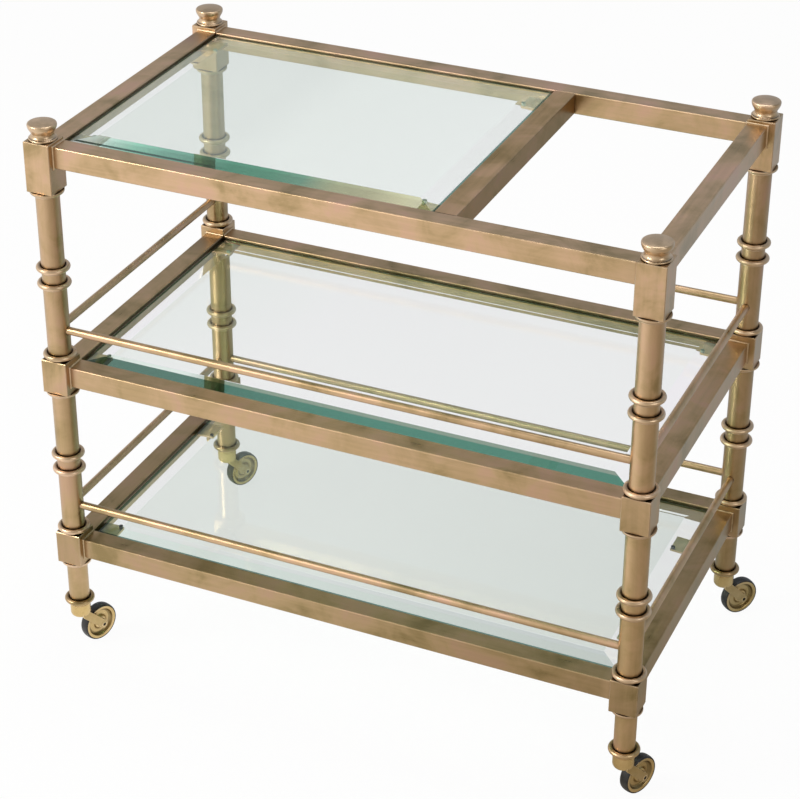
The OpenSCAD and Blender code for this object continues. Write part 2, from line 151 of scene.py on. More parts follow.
brassLook = {
    "shades": [  # patina, from the olive hollows of the mottling to its pink and tan heights
        (0.35, (0.430, 0.310, 0.160, 1)),
        (0.45, (0.570, 0.402, 0.230, 1)),
        (0.55, (0.650, 0.450, 0.280, 1)),
        (0.65, (0.680, 0.445, 0.315, 1))],
    "wornEdgeHighlight": (0.76, 0.65, 0.56, 1),      # rubbed through along the edges, with a painted highlight on them
    "creviceShade": (0.060, 0.036, 0.016, 1),    # painted shade: dark brown laid into joints and crevices by ambient occlusion
    "weldCleanHighlight": (0.62, 0.44, 0.27, 1),      # cleaner metal round the soldered rail ends, with a painted highlight on it
    "streakNoise": (1.0, 5.0, 0.62),        # scale, detail and roughness; the stretch sets the size
    "blotchNoise": (17.0, 5.0, 0.58, 0.6),  # and distortion
    "streakShare": 0.28,                    # how much of the mottling follows the brushing
    "brushTone": (0.14, 0.12),              # how far the brushing darkens and lightens the metal
    "roughness": (0.27, 0.44),
    "roughSpan": (0.7, 1.3),                # range of both noises together
    "edgeWidth": 0.0012,
    "edgeBend": (0.985, 0.90),              # from a flat face to a full edge
    "wearHighlight": (0.18, 0.60),                    # least and most wear and painted highlight along an edge
    "wearHighlightScale": 60.0,
    "wearHighlightSpan": (0.35, 0.6),
    "waxReach": 0.006,
    "waxRange": (0.25, 0.80),
    "weldReach": (0.014, 0.006),            # where the cleaner metal starts and is full
    "weldShare": 0.55,
    "weldWobble": 0.006,
    "duskWobble": 0.05,
    "sideSpan": (0.5, 0.9),                 # how far a face must turn to a side to take its shade
    "fineNoise": (1.0, 2.0),
    "fineShare": 4,                         # scratches are this much closer than the brushing
    "grooves": (2, 2, 900),                 # stretch of the lathe marks on turned pieces
    "bumpStrength": 0.12,
    "bumpDepth": 0.0003,
    "lowHue": (0.99, 1.015, 0.92, 1),       # the bottom tier is yellower than the top one
    "tierHeights": (0.18, 0.40, 0.64),
    "tierTones": (0.74, 0.90, 1.04),        # darker on the lower tiers
}


def patinaBrass(name, stretch, look, weldEnds=None, turned=False, creviceShaded=True, tiered=False, grain=1.0,
                sideShade=None, backShade=None, edgeTint=None):
    # weldEnds: axis, middle and half length of a rail
    # sideShade: an axis and the tone of the faces that look along it
    # backShade: where a rail starts and stops to darken towards the back, and both tones
    mat, surface = newMaterial(name)
    point = objectPoint(mat)
    streak = noise(mat, objectPoint(mat, stretch), *look["streakNoise"])
    blotch = noise(mat, point, *look["blotchNoise"])
    share = look["streakShare"] * grain
    mottle = math2(mat, "ADD", math2(mat, "MULTIPLY", blotch, 1.0 - share),
                   math2(mat, "MULTIPLY", streak, share))
    colour = ramp(mat, mottle, look["shades"])
    dark, light = look["brushTone"]
    brushed = remap(mat, streak, *noiseSpan, 1.0 - dark * grain, 1.0 + light * grain)
    colour = multiplied(mat, colour, brushed)
    if tiered:
        lowZ, midZ, topZ = look["tierHeights"]
        lowTone, midTone, topTone = look["tierTones"]
        height = axisValue(mat, point, "Z")
        tone = math2(mat, "ADD", remap(mat, height, lowZ, midZ, lowTone, midTone),
                     remap(mat, height, midZ, topZ, 0.0, topTone - midTone))
        colour = multiplied(mat, colour, tone)
        hue = blendColour(mat, remap(mat, height, lowZ, topZ), look["lowHue"], (1, 1, 1, 1))
        colour = multiplied(mat, colour, hue)
    if weldEnds:
        axis, middle, reach = weldEnds
        start, full = look["weldReach"]
        away = math2(mat, "ABSOLUTE", math2(mat, "SUBTRACT", axisValue(mat, point, axis), middle), 0.0)
        away = math2(mat, "ADD", away, wander(mat, blotch, look["weldWobble"]))
        # cleaner metal and a painted highlight towards each rail end
        cleanAndLit = remap(mat, away, reach - start, reach - full, 0.0, look["weldShare"])
        colour = blendColour(mat, cleanAndLit, colour, look["weldCleanHighlight"])
    if backShade:
        dusk = math2(mat, "ADD", axisValue(mat, point, "Y"), wander(mat, blotch, look["duskWobble"]))
        colour = multiplied(mat, colour, remap(mat, dusk, *backShade))
    trueNormal = addNode(mat, "ShaderNodeNewGeometry").outputs["Normal"]
    if sideShade:
        axis, shade = sideShade
        facing = axisValue(mat, trueNormal, axis)
        colour = multiplied(mat, colour, remap(mat, facing, *look["sideSpan"], 1.0, shade))
    softNormal = addNode(mat, "ShaderNodeBevel", {"Radius": look["edgeWidth"]}, samples=6).outputs[0]
    flat = addNode(mat, "ShaderNodeVectorMath", {0: trueNormal, 1: softNormal},
                   operation="DOT_PRODUCT").outputs["Value"]
    # worn edges with a painted highlight: the edges mix towards the pale edge colour
    wornHighlight = math2(mat, "MULTIPLY", remap(mat, flat, *look["edgeBend"]),
                   remap(mat, noise(mat, point, look["wearHighlightScale"]), *look["wearHighlightSpan"], *look["wearHighlight"]))
    colour = blendColour(mat, wornHighlight, colour, look["wornEdgeHighlight"])
    # painted shade: ambient occlusion darkens joints, crevices and recesses towards the dark brown
    if creviceShaded:
        occlusion = addNode(mat, "ShaderNodeAmbientOcclusion", {"Distance": look["waxReach"]}, samples=8)
        clear = remap(mat, occlusion.outputs["AO"], *look["waxRange"])
        colour = blendColour(mat, clear, look["creviceShade"], colour)
    wire(mat, colour, surface.inputs["Base Color"])
    surface.inputs["Metallic"].default_value = 1.0
    if edgeTint:
        surface.inputs["Specular Tint"].default_value = edgeTint
    grainRough = remap(mat, math2(mat, "ADD", streak, blotch), *look["roughSpan"], *look["roughness"])
    wire(mat, grainRough, surface.inputs["Roughness"])
    fineStretch = look["grooves"] if turned else tuple(look["fineShare"] * s for s in stretch)
    fine = noise(mat, objectPoint(mat, fineStretch), *look["fineNoise"])
    raiseSurface(mat, surface, fine, look["bumpStrength"], look["bumpDepth"])
    return mat


def paint(names, mat):
    for name in names:
        mesh = cadNodes[name].data
        for index in range(len(mesh.materials)):
            mesh.materials[index] = mat


def railEnds(name, axis):
    # the axis, the middle and the half length of a rail, for the soldered ends
    low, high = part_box(name)
    middle = (low[axis] + high[axis]) / 2
    return axis, middle, high[axis] - middle


# stretch of the brush marks along the three axes: the smallest number is along the brushing
brushX = (9, 240, 240)
brushY = (240, 9, 240)
brushRodX = (9, 300, 300)
brushRodY = (300, 9, 300)
brushPost = (110, 110, 7)
brushBlock = (120, 120, 12)
brushTurned = (40, 40, 300)
brushLug = (60, 60, 60)
brushNone = (120, 120, 120)

railBrassX = patinaBrass("railBrassX", brushX, brassLook, railEnds("rail_top_front", 0), tiered=True,
                         grain=0.4)
railBrassY = patinaBrass("railBrassY", brushY, brassLook, railEnds("rail_top_left", 1), tiered=True,
                         grain=0.4)
railBrassLeft = patinaBrass("railBrassLeft", brushY, brassLook, tiered=True, grain=0.4,
                            backShade=(0.09, 0.17, 1.0, 0.50))
crossBrass = patinaBrass("crossBrass", brushY, brassLook, tiered=True, grain=0.4,
                         sideShade=("X", 0.60), edgeTint=(0.90, 0.77, 0.62, 1))
blockLook = dict(brassLook, wearHighlight=(0.40, 0.90), wornEdgeHighlight=(0.84, 0.67, 0.53, 1))
blockBrass = patinaBrass("blockBrass", brushBlock, blockLook, tiered=True, grain=0.5)
postShadeTones = {  # tone of each post's tubes from the bottom tier to the top; the back posts are darker by painted shade
    "fl": (0.84, 0.92, 1.00),
    "fr": (1.00, 1.00, 1.00),
    "br": (0.76, 0.80, 0.87),
    "bl": (0.78, 0.86, 1.00)}
turnedLitLook = dict(brassLook, shades=[  # a brighter copy of the patina: painted light on the turned pieces
    (0.30, (0.52, 0.385, 0.225, 1)),
    (0.44, (0.66, 0.490, 0.315, 1)),
    (0.56, (0.75, 0.555, 0.380, 1)),
    (0.70, (0.78, 0.560, 0.405, 1))])
turnedLitBrass = patinaBrass("turnedLitBrass", brushTurned, turnedLitLook, turned=True)
rodBrassX = patinaBrass("rodBrassX", brushRodX, brassLook, grain=0.5)
rodBrassY = patinaBrass("rodBrassY", brushRodY, brassLook, grain=0.5)

casterLook = dict(
    brassLook,
    shades=[(0.30, (0.56, 0.400, 0.165, 1)),
            (0.45, (0.68, 0.500, 0.225, 1)),
            (0.58, (0.78, 0.580, 0.285, 1)),
            (0.72, (0.82, 0.610, 0.330, 1))],
    wornEdgeHighlight=(0.92, 0.74, 0.50, 1),
    roughness=(0.24, 0.38),
    edgeWidth=0.0011,
    wearHighlight=(0.45, 0.95),
    waxReach=0.004,
    waxRange=(0.05, 0.50))


def tonedLook(look, share, **changes):
    shades = [(place, tuple(share * c for c in colour[:3]) + (1,)) for place, colour in look["shades"]]
    return dict(look, shades=shades, **changes)


casterBrass = patinaBrass("casterBrass", brushNone, casterLook, grain=0.5)
# painted shade: a darker copy of the caster brass for the fork's arms
armShadeBrass = patinaBrass("armShadeBrass", brushNone, tonedLook(casterLook, 0.70), grain=0.5)
# a wider reach of the painted crevice shade darkens the wheel's dish
discLook = tonedLook(casterLook, 0.88, waxReach=0.010, waxRange=(0.10, 0.75))
discBrass = patinaBrass("discBrass", brushNone, discLook, grain=0.5)
# painted shade: darker copies for the recessed web and the deep groove of the wheel's dish
webShadeBrass = patinaBrass("webShadeBrass", brushNone, tonedLook(casterLook, 0.78), grain=0.5, creviceShaded=False)
grooveShadeBrass = patinaBrass("grooveShadeBrass", brushNone, tonedLook(casterLook, 0.42), grain=0.5, creviceShaded=False)
eyeShade = patinaBrass("eyeShade", brushNone, tonedLook(casterLook, 0.05), creviceShaded=False)


def nodesLike(start, *ends):
    return [node for node in cadNodes if node.startswith(start) and node.endswith(ends)]


paint(nodesLike("rail_", "front", "back"), railBrassX)
paint(nodesLike("rail_", "right"), railBrassY)
paint(nodesLike("rail_", "left"), railBrassLeft)
paint(["rail_top_cross"], crossBrass)
paint([f"blocks_{c}" for c in corners], blockBrass)
for c in corners:
    postLook = dict(brassLook, tierTones=postShadeTones[c])
    paint([f"tubes_{c}"], patinaBrass(f"tubeBrass_{c}", brushPost, postLook, tiered=True, grain=0.5))
paint([f"collars_{c}" for c in corners] + [f"finial_{c}" for c in corners], turnedLitBrass)
paint(nodesLike("gallery_", "front", "back"), rodBrassX)
paint(nodesLike("gallery_", "left", "right"), rodBrassY)
paint(["glass_lugs"], patinaBrass("lugBrass", brushLug, tonedLook(brassLook, 1.3), creviceShaded=False))
paint([f"caster_{part}_{c}" for part in ("fork", "axle") for c in corners], casterBrass)
paint([f"caster_wheel_{c}" for c in corners], discBrass)
print("brass finishes laid on")


# steel, rubber and tyre

steelLook = {"dark": (0.30, 0.30, 0.29, 1), "light": (0.58, 0.58, 0.56, 1), "roughness": (0.3, 0.5),
             "grimeNoise": (120.0, 4.0), "threadScale": 40.0, "strength": 0.6, "depth": 0.0006}
rubberLook = {"dark": (0.012, 0.012, 0.013, 1), "dusty": (0.045, 0.041, 0.038, 1),
              "roughness": (0.34, 0.55), "dustNoise": (70.0, 5.0, 0.6), "dustSpan": (0.42, 0.7),
              "speckNoise": (900.0, 2.0), "strength": 0.25, "depth": 0.0002}
# the pads of the low tier are dark and those of the upper tiers pale
bumperLook = dict(rubberLook, roughness=(0.55, 0.75), pale=(0.42, 0.46, 0.40, 1), paleSpan=(0.3, 0.31))


def threadedSteel(name, look):
    mat, surface = newMaterial(name)
    point = objectPoint(mat)
    grime = noise(mat, point, *look["grimeNoise"])
    wire(mat, blendColour(mat, grime, look["dark"], look["light"]), surface.inputs["Base Color"])
    surface.inputs["Metallic"].default_value = 1.0
    wire(mat, remap(mat, grime, *noiseSpan, *look["roughness"]), surface.inputs["Roughness"])
    thread = addNode(mat, "ShaderNodeTexWave", {"Vector": point, "Scale": look["threadScale"]},
                     bands_direction="Z").outputs["Fac"]
    raiseSurface(mat, surface, thread, look["strength"], look["depth"])
    return mat


def softRubber(name, look):
    mat, surface = newMaterial(name)
    point = objectPoint(mat)
    dust = noise(mat, point, *look["dustNoise"])
    speck = noise(mat, point, *look["speckNoise"])
    colour = blendColour(mat, remap(mat, dust, *look["dustSpan"]), look["dark"], look["dusty"])
    if "pale" in look:
        upper = remap(mat, axisValue(mat, point, "Z"), *look["paleSpan"])
        colour = blendColour(mat, upper, colour, look["pale"])
    wire(mat, colour, surface.inputs["Base Color"])
    wire(mat, remap(mat, dust, *noiseSpan, *look["roughness"]), surface.inputs["Roughness"])
    raiseSurface(mat, surface, speck, look["strength"], look["depth"])
    return mat


paint(["tie_rods"], threadedSteel("threadedSteel", steelLook))
paint(["glass_bumpers"], softRubber("bumperRubber", bumperLook))
tyreRubber = softRubber("tyreRubber", rubberLook)
paint([f"caster_tyre_{c}" for c in corners], tyreRubber)
print("steel and rubber laid on")


# bevelled glass

glassLook = {"index": 1.5, "driftScale": 6.0, "driftSpan": (0.35, 0.65), "paler": 1.06, "hazeDrift": 0.1,
             "wobble": 0.12, "waveNoise": (14.0, 1.0), "waveStrength": 0.02, "waveDepth": 0.001,
             "shadowFloor": 0.6}
paneLook = {
    "bevel": 0.027,      # width of the bevel
    "step": 0.0195,      # where the front bevel changes its tone
    "edge": 0.0025,      # height of the upright edge
    "arris": 0.0003,
    "dark": {"top": 0.0030, "mid": 0.0038, "low": 0.0050},   # deep green line along the outer edge
    "vein": (0.0056, 0.0096),            # dark line in the top pane's front bevel
    "ridge": 0.0009,     # painted highlight: the bright line where the bevel meets the field
    "haze": {"top": 0.045, "mid": 0.006, "low": 0.022},     # share of the light that the film scatters
    "film": (0.93, 1.0, 0.93, 1),
    "frost": (0.02, 0.12, 0.75, 0.0),    # the top pane's front bevel turns milky at its left end
    "frostFilm": (0.80, 0.86, 0.84, 1),
    "veinEnd": (0.34, 0.46),             # where the vein fades into the bevel
    "field": {           # tint of the flat field from left to right; the low pane's darker tint is a painted shade of the floor under it
        "top": [(0.00, (0.735, 0.892, 0.765, 1)), (0.38, (0.745, 0.900, 0.775, 1)),
                (0.52, (0.800, 0.965, 0.830, 1)), (1.00, (0.825, 0.985, 0.860, 1))],
        "mid": [(0.00, (0.800, 0.970, 0.825, 1)), (0.30, (0.860, 1.000, 0.880, 1)),
                (1.00, (0.855, 1.000, 0.875, 1))],
        "low": [(0.00, (0.720, 0.875, 0.740, 1)), (0.40, (0.715, 0.865, 0.735, 1)),
                (1.00, (0.650, 0.795, 0.670, 1))]},
    "back": (0.84, 1.0, 0.84, 1),
    "side": (0.86, 1.0, 0.88, 1),
    "edgeLine": (0.020, 0.070, 0.045, 1),
    "veinLine": (0.006, 0.030, 0.018, 1),
    "ridgeHighlight": (0.82, 1.0, 0.87, 1),
    "front": {           # tint of the front bevel from its left end to its right end: the glass's own green, deepened into teal and tinged with brass by painted light and reflection caught in the bevel
        "top": [(0.00, (0.60, 0.94, 0.72, 1)), (0.10, (0.45, 0.94, 0.67, 1)),
                (0.18, (0.144, 0.64, 0.355, 1)), (0.27, (0.064, 0.305, 0.175, 1)),
                (0.45, (0.012, 0.136, 0.056, 1)), (0.55, (0.017, 0.145, 0.059, 1)),
                (0.64, (0.039, 0.175, 0.082, 1)), (0.73, (0.238, 0.305, 0.110, 1)),
                (0.82, (0.30, 0.33, 0.124, 1)), (0.91, (0.588, 0.63, 0.243, 1)),
                (1.00, (0.66, 0.74, 0.34, 1))],
        "mid": [(0.00, (0.013, 0.057, 0.032, 1)), (0.30, (0.009, 0.065, 0.035, 1)),
                (0.50, (0.010, 0.092, 0.048, 1)), (1.00, (0.009, 0.082, 0.039, 1))],
        "low": [(0.00, (0.69, 0.95, 0.77, 1)), (1.00, (0.45, 0.578, 0.473, 1))]},
    "upper": {           # tint of the strip between the front bevel's step and its ridge: glass green with painted light caught in the bevel, as on the front
        "mid": [(0.00, (0.72, 1.0, 0.80, 1)), (0.19, (0.72, 1.0, 0.80, 1)),
                (0.24, (0.086, 0.169, 0.094, 1)), (1.00, (0.080, 0.145, 0.088, 1))],
        "low": [(0.00, (0.785, 0.94, 0.82, 1)), (1.00, (0.462, 0.59, 0.536, 1))]},
}


def tintedGlass(name, tint, look, span=None, haze=0.0, film=None, frost=None):
    # tint is one colour, or stops along the span from left to right
    mat, surface = newMaterial(name)
    point = objectPoint(mat)
    drift = noise(mat, point, look["driftScale"])
    if span:
        along = remap(mat, axisValue(mat, point, "X"), *span)
        along = math2(mat, "ADD", along, wander(mat, drift, look["wobble"]))
        colour = ramp(mat, along, tint)
        shade = tint[len(tint) // 2][1]
    else:
        paler = tuple(min(1.0, look["paler"] * c) for c in tint[:3]) + (1,)
        colour = blendColour(mat, remap(mat, drift, *look["driftSpan"]), tint, paler)
        shade = tint
    wire(mat, colour, surface.inputs["Base Color"])
    surface.inputs["Roughness"].default_value = 0.0
    surface.inputs["IOR"].default_value = look["index"]
    surface.inputs["Transmission Weight"].default_value = 1.0
    waves = noise(mat, point, *look["waveNoise"])
    raiseSurface(mat, surface, waves, look["waveStrength"], look["waveDepth"])
    seen = surface.outputs[0]
    if frost:
        share = remap(mat, along, *frost)
    elif haze:
        swing = look["hazeDrift"]
        share = remap(mat, drift, *noiseSpan, (1 - swing) * haze, (1 + swing) * haze)
    if frost or haze:
        veil = addNode(mat, "ShaderNodeBsdfDiffuse", {"Color": film})
        seen = mixShaders(mat, share, seen, veil.outputs[0])
    # a shadow ray goes straight through, so the glass throws only a faint shadow
    floor = look["shadowFloor"]
    faint = tuple(floor + (1 - floor) * c for c in shade[:3]) + (1,)
    shadow = addNode(mat, "ShaderNodeLightPath").outputs["Is Shadow Ray"]
    clear = addNode(mat, "ShaderNodeBsdfTransparent", {"Color": faint})
    wire(mat, mixShaders(mat, shadow, seen, clear.outputs[0]), outlet(mat))
    return mat


def paneFinishes(tier, look, left, right):
    span = (left, right)
    veil = {"haze": look["haze"][tier], "film": look["film"]}
    frost = {"film": look["frostFilm"], "frost": look["frost"]} if tier == "top" else {}
    finishes = {
        "field": tintedGlass(f"fieldGlass_{tier}", look["field"][tier], glassLook, span, **veil),
        "front": tintedGlass(f"frontGlass_{tier}", look["front"][tier], glassLook, span, **frost)}
    if tier in look["upper"]:
        finishes["upper"] = tintedGlass(f"upperGlass_{tier}", look["upper"][tier], glassLook, span)
    if tier == "top":
        start, end = look["veinEnd"]
        bevel = [stop for stop in look["front"][tier] if stop[0] > start]
        vein = [(0.0, look["veinLine"]), (start, look["veinLine"]), (end, bevel[0][1]), *bevel[1:]]
        finishes["vein"] = tintedGlass(f"veinGlass_{tier}", vein, glassLook, span)
    for key in ("back", "side", "ridgeHighlight"):
        finishes[key] = tintedGlass(f"{key}Glass_{tier}", look[key], glassLook, **veil)
    finishes["edgeLine"] = tintedGlass(f"edgeGlass_{tier}", look["edgeLine"], glassLook)
    return finishes


def buildPane(tier, look):
    low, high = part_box(f"glass_{tier}")
    thick = high.z - low.z
    slope = (thick - look["edge"]) / look["bevel"]
    finishes = paneFinishes(tier, look, low.x, high.x)
    order = list(finishes)
    vein = "vein" if "vein" in finishes else "front"
    upper = "upper" if "upper" in finishes else "front"
    rings = [(look["arris"], 0.0), (0.0, look["arris"]), (0.0, look["edge"] - look["arris"])]
    rings += [(inset, look["edge"] + inset * slope)
              for inset in (look["arris"], look["dark"][tier], *look["vein"], look["step"],
                            look["bevel"] - look["ridge"], look["bevel"])]
    rest = ("side", "back", "side")
    bands = [("edgeLine",) * 4] * 4      # finish of the front, right, back and left side between two rings
    bands += [("front", *rest), (vein, *rest), ("front", *rest), (upper, *rest), ("ridgeHighlight",) * 4]
    shell = bmesh.new()
    loops = []
    for inset, z in rings:
        spots = ((low.x + inset, low.y + inset), (high.x - inset, low.y + inset),
                 (high.x - inset, high.y - inset), (low.x + inset, high.y - inset))
        loops.append([shell.verts.new((x, y, low.z + z)) for x, y in spots])
    for near, far, band in zip(loops, loops[1:], bands):
        for side, finish in enumerate(band):
            onward = (side + 1) % 4
            face = shell.faces.new((near[side], near[onward], far[onward], far[side]))
            face.material_index = order.index(finish)
    shell.faces.new(loops[-1]).material_index = 0
    shell.faces.new(list(reversed(loops[0]))).material_index = 0
    bmesh.ops.recalc_face_normals(shell, faces=shell.faces)
    mesh = bpy.data.meshes.new(f"pane_{tier}")
    shell.to_mesh(mesh)
    shell.free()
    pane = newObject(f"pane_{tier}", mesh)
    for mat in finishes.values():
        mesh.materials.append(mat)
    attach(pane, "frame")
    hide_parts(f"glass_{tier}")


for tier in tiers:
    buildPane(tier, paneLook)
print("glass panes cut")


# casters: forks, wheels and tyres in finer detail, each in its own place and on its own body

casterShape = {
    "height": 0.0722, "gap": 0.0003,
    "cupRadius": 0.01265, "cupHeight": 0.0224, "cupRound": 0.0055,
    "capStep": 0.0002, "capEdge": 0.0005,
    # a groove round the cup: its place under the top, its depth, and half of its floor and of its mouth
    "raceHeight": 0.0037, "raceStep": 0.0005, "raceFloor": 0.0002, "raceMouth": 0.0005,
    "stemRadius": 0.00475, "stemLength": 0.038, "stemEdge": 0.001,
    "forkWidth": 0.0238, "armThick": 0.0028, "armWidth": 0.0109, "armRoot": 0.052, "armEdge": 0.0006,
    "wheelRadius": 0.0245, "tyreWidth": 0.0125, "tyreThick": 0.0017, "treadPower": 2.2, "treadSteps": 10,
    "tyreFit": 0.00005, "axleRadius": 0.0025, "axleFit": 0.0001, "eyeRadius": 0.0026, "eyeSink": 0.0002,
    "web": (0.0088, 0.0152), "groove": (0.0152, 0.0189),     # bands of the disc with painted shade, deepest in the groove
}
smoothAngle = 35.0


def linkPiece(name, shell, mat):
    mesh = bpy.data.meshes.new(name)
    bmesh.ops.recalc_face_normals(shell, faces=shell.faces)
    shell.to_mesh(mesh)
    shell.free()
    for face in mesh.polygons:
        face.use_smooth = True
    mesh.set_sharp_from_angle(angle=math.radians(smoothAngle))
    mesh.materials.append(mat)
    return newObject(name, mesh)


def markRing(piece, inner, outer, mat, axes=(0, 2)):
    # another finish between two distances from the axis
    piece.data.materials.append(mat)
    index = len(piece.data.materials) - 1
    for face in piece.data.polygons:
        if inner < math.hypot(face.center[axes[0]], face.center[axes[1]]) < outer:
            face.material_index = index


def sweepArc(cx, cy, radius, start, end, steps):
    return [(cx + radius * math.cos(math.radians(start + (end - start) * i / steps)),
             cy + radius * math.sin(math.radians(start + (end - start) * i / steps)))
            for i in range(steps + 1)]


def turnProfile(shell, profile, closed=False, steps=72):
    # lathe about Z; a closed profile makes a ring, an open one starts and ends on the axis
    rows = []
    for step in range(steps):
        turn = 2 * math.pi * step / steps
        spots = [(radius * math.cos(turn), radius * math.sin(turn), z) for radius, z in profile]
        rows.append([shell.verts.new(spot) if point[0] else None for spot, point in zip(spots, profile)])
    tips = {i: shell.verts.new((0, 0, z)) for i, (radius, z) in enumerate(profile) if not radius}
    rows = [[vert or tips[i] for i, vert in enumerate(row)] for row in rows]
    count = len(profile)
    for step in range(steps):
        here, there = rows[step], rows[(step + 1) % steps]
        for i in range(count if closed else count - 1):
            j = (i + 1) % count
            # at the axis two of the four corners are one, and the face is a triangle
            shell.faces.new(tuple(dict.fromkeys((here[i], there[i], there[j], here[j]))))
    return shell


def turnAcross(profile, closed=False, steps=72):
    # turned about Z and then laid on the wheel's axis, along Y
    shell = turnProfile(bmesh.new(), profile, closed, steps)
    for vert in shell.verts:
        x, y, z = vert.co
        vert.co = (x, -z, y)
    return shell


def mirrored(side):
    return [(radius, -z) for radius, z in reversed(side)]


def cutStrap(shell, outline, thick, edge, middle):
    # flat strap in the XZ plane with eased edges, centred on y = middle
    def shrink(points, amount):
        inner = []
        for i, (x, z) in enumerate(points):
            before, after = Vector(points[i - 1]), Vector(points[(i + 1) % len(points)])
            along = (after - before).normalized()
            inner.append((x - along.y * amount, z + along.x * amount))
        return inner
    half = thick / 2
    ease = 0.3 * edge      # the eased edge bulges past a plain chamfer
    layers = [(edge, -half), (ease, -half + ease), (0, -half + edge),
              (0, half - edge), (ease, half - ease), (edge, half)]
    rings = []
    for amount, y in layers:
        rings.append([shell.verts.new((x, middle + y, z)) for x, z in shrink(outline, amount)])
    count = len(outline)
    for low, high in zip(rings, rings[1:]):
        for i in range(count):
            j = (i + 1) % count
            shell.faces.new((low[i], low[j], high[j], high[i]))
    shell.faces.new(rings[0])
    shell.faces.new(list(reversed(rings[-1])))


def buildFork(look):
    cup, bend = look["cupRadius"], look["cupRound"]
    top = look["height"] - look["gap"]
    bottom = top - look["cupHeight"]
    race, raceZ = cup - look["raceStep"], top - look["raceHeight"]
    cap, capEdge = cup - look["capStep"], look["capEdge"]
    stem, stemEdge = look["stemRadius"], look["stemEdge"]
    tip = top + look["stemLength"]
    profile = [(0.0, bottom)]
    profile += [(x, bottom + z) for x, z in sweepArc(cup - bend, bend, bend, -90, 0, 10)]
    profile += [(cup, raceZ - look["raceMouth"]), (race, raceZ - look["raceFloor"]),
                (race, raceZ + look["raceFloor"]), (cap, raceZ + look["raceMouth"]),
                (cap, top - capEdge), (cap - capEdge, top), (stem, top),
                (stem, tip - stemEdge), (stem - stemEdge, tip), (0.0, tip)]
    body = turnProfile(bmesh.new(), profile)
    trail, axleZ = look["trail"], look["wheelRadius"]
    drop = math.degrees(math.atan2(look["armRoot"] - axleZ, trail))
    half = look["armWidth"] / 2
    outline = sweepArc(0.0, look["armRoot"], half, 90 - drop, 270 - drop, 12)
    outline += sweepArc(trail, axleZ, half, -90 - drop, 90 - drop, 16)
    for side in (-1, 1):
        cutStrap(body, outline, look["armThick"], look["armEdge"],
                 side * (look["forkWidth"] - look["armThick"]) / 2)
    return body


def wheelProfile(look):
    # one half of the section, from the bore out to the tyre's channel
    half = look["tyreWidth"] / 2
    rim = look["wheelRadius"] - look["tyreThick"]
    hubHalf = look["forkWidth"] / 2 - look["armThick"] - look["gap"]
    hub = [(look["axleRadius"] + look["axleFit"], hubHalf), (0.0057, hubHalf), (0.0062, hubHalf - 0.0005)]
    boss = [(0.0062, half - 0.0012), (0.0078, half - 0.0016), (0.0085, half - 0.0024)]
    dish = [(0.0092, 0.0022), (0.0102, 0.0014), (0.0118, 0.0011), (0.0150, 0.0011), (0.0164, 0.0015),
            (0.0174, 0.0026)]
    lip = [(0.0181, half - 0.0022), (0.0187, half - 0.0009), (0.0194, half - 0.0004),
           (rim - 0.0007, half - 0.0003), (rim - 0.0002, half - 0.0008)]
    channel = [(rim - 0.0001, 0.0043), (rim - 0.0022, 0.0040)]
    side = hub + boss + dish + lip + channel
    return side + mirrored(side)


def tyreProfile(look):
    # a root in the channel and a tread that follows a squared ellipse
    half = look["tyreWidth"] / 2
    rim = look["wheelRadius"] - look["tyreThick"]
    seat, tread = rim + look["tyreFit"], look["tyreThick"] - look["tyreFit"]
    steps, power = look["treadSteps"], 2 / look["treadPower"]
    side = [(rim - 0.0021, 0.0038), (seat, 0.0042)]
    for step in range(steps + 1):
        turn = math.pi / 2 * step / steps
        side.append((seat + tread * math.sin(turn) ** power, half * max(0.0, math.cos(turn)) ** power))
    return side + mirrored(side[:-1])


def axleProfile(look):
    # a rivet with a low head on both ends, and a shallow eye in each
    head = look["forkWidth"] / 2 + look["gap"]
    radius, eye, eyeFloor = look["axleRadius"], look["eyeRadius"], head - look["eyeSink"]
    end = [(0.0, eyeFloor), (eye - 0.0003, eyeFloor), (eye, head), (radius + 0.0008, head),
           (radius + 0.0010, head - look["gap"]), (radius, head - look["gap"])]
    return end + mirrored(end)


def placeCaster(corner, look):
    low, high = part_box(f"caster_axle_{corner}")
    axle = (low + high) / 2
    low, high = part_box(f"finial_{corner}")
    post = (low + high) / 2
    trail = Vector((axle.x - post.x, axle.y - post.y))
    look = dict(look, trail=trail.length)
    yaw = math.atan2(trail.y, trail.x)
    fork = linkPiece(f"fork_{corner}", buildFork(look), casterBrass)
    markRing(fork, look["cupRadius"] + 0.0005, math.inf, armShadeBrass, (0, 1))
    rivet = linkPiece(f"rivet_{corner}", turnAcross(axleProfile(look), steps=32), casterBrass)
    markRing(rivet, 0.0, look["eyeRadius"], eyeShade)
    disc = linkPiece(f"disc_{corner}", turnAcross(wheelProfile(look), True), discBrass)
    markRing(disc, *look["web"], webShadeBrass)
    markRing(disc, *look["groove"], grooveShadeBrass)
    tyre = linkPiece(f"tyre_{corner}", turnAcross(tyreProfile(look), True), tyreRubber)
    foot, hub = Vector((0, 0, 0)), Vector((look["trail"], 0, look["wheelRadius"]))
    swivel, wheel = f"swivel_{corner}", f"wheel_{corner}"
    plan = (("fork", fork, swivel, foot, "caster_brass"), ("axle", rivet, swivel, hub, "caster_brass"),
            ("wheel", disc, wheel, hub, "caster_brass"), ("tyre", tyre, wheel, hub, "tyre"))
    for part, piece, body, spot, finish in plan:
        for vert in piece.data.vertices:
            x, y, z = vert.co + spot
            vert.co = (post.x + x * math.cos(yaw) - y * math.sin(yaw),
                       post.y + x * math.sin(yaw) + y * math.cos(yaw), z)
        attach(piece, body)
        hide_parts(f"caster_{part}_{corner}")


for c in corners:
    placeCaster(c, casterShape)
print("casters built")


# solder beads where the rails run into the corner blocks

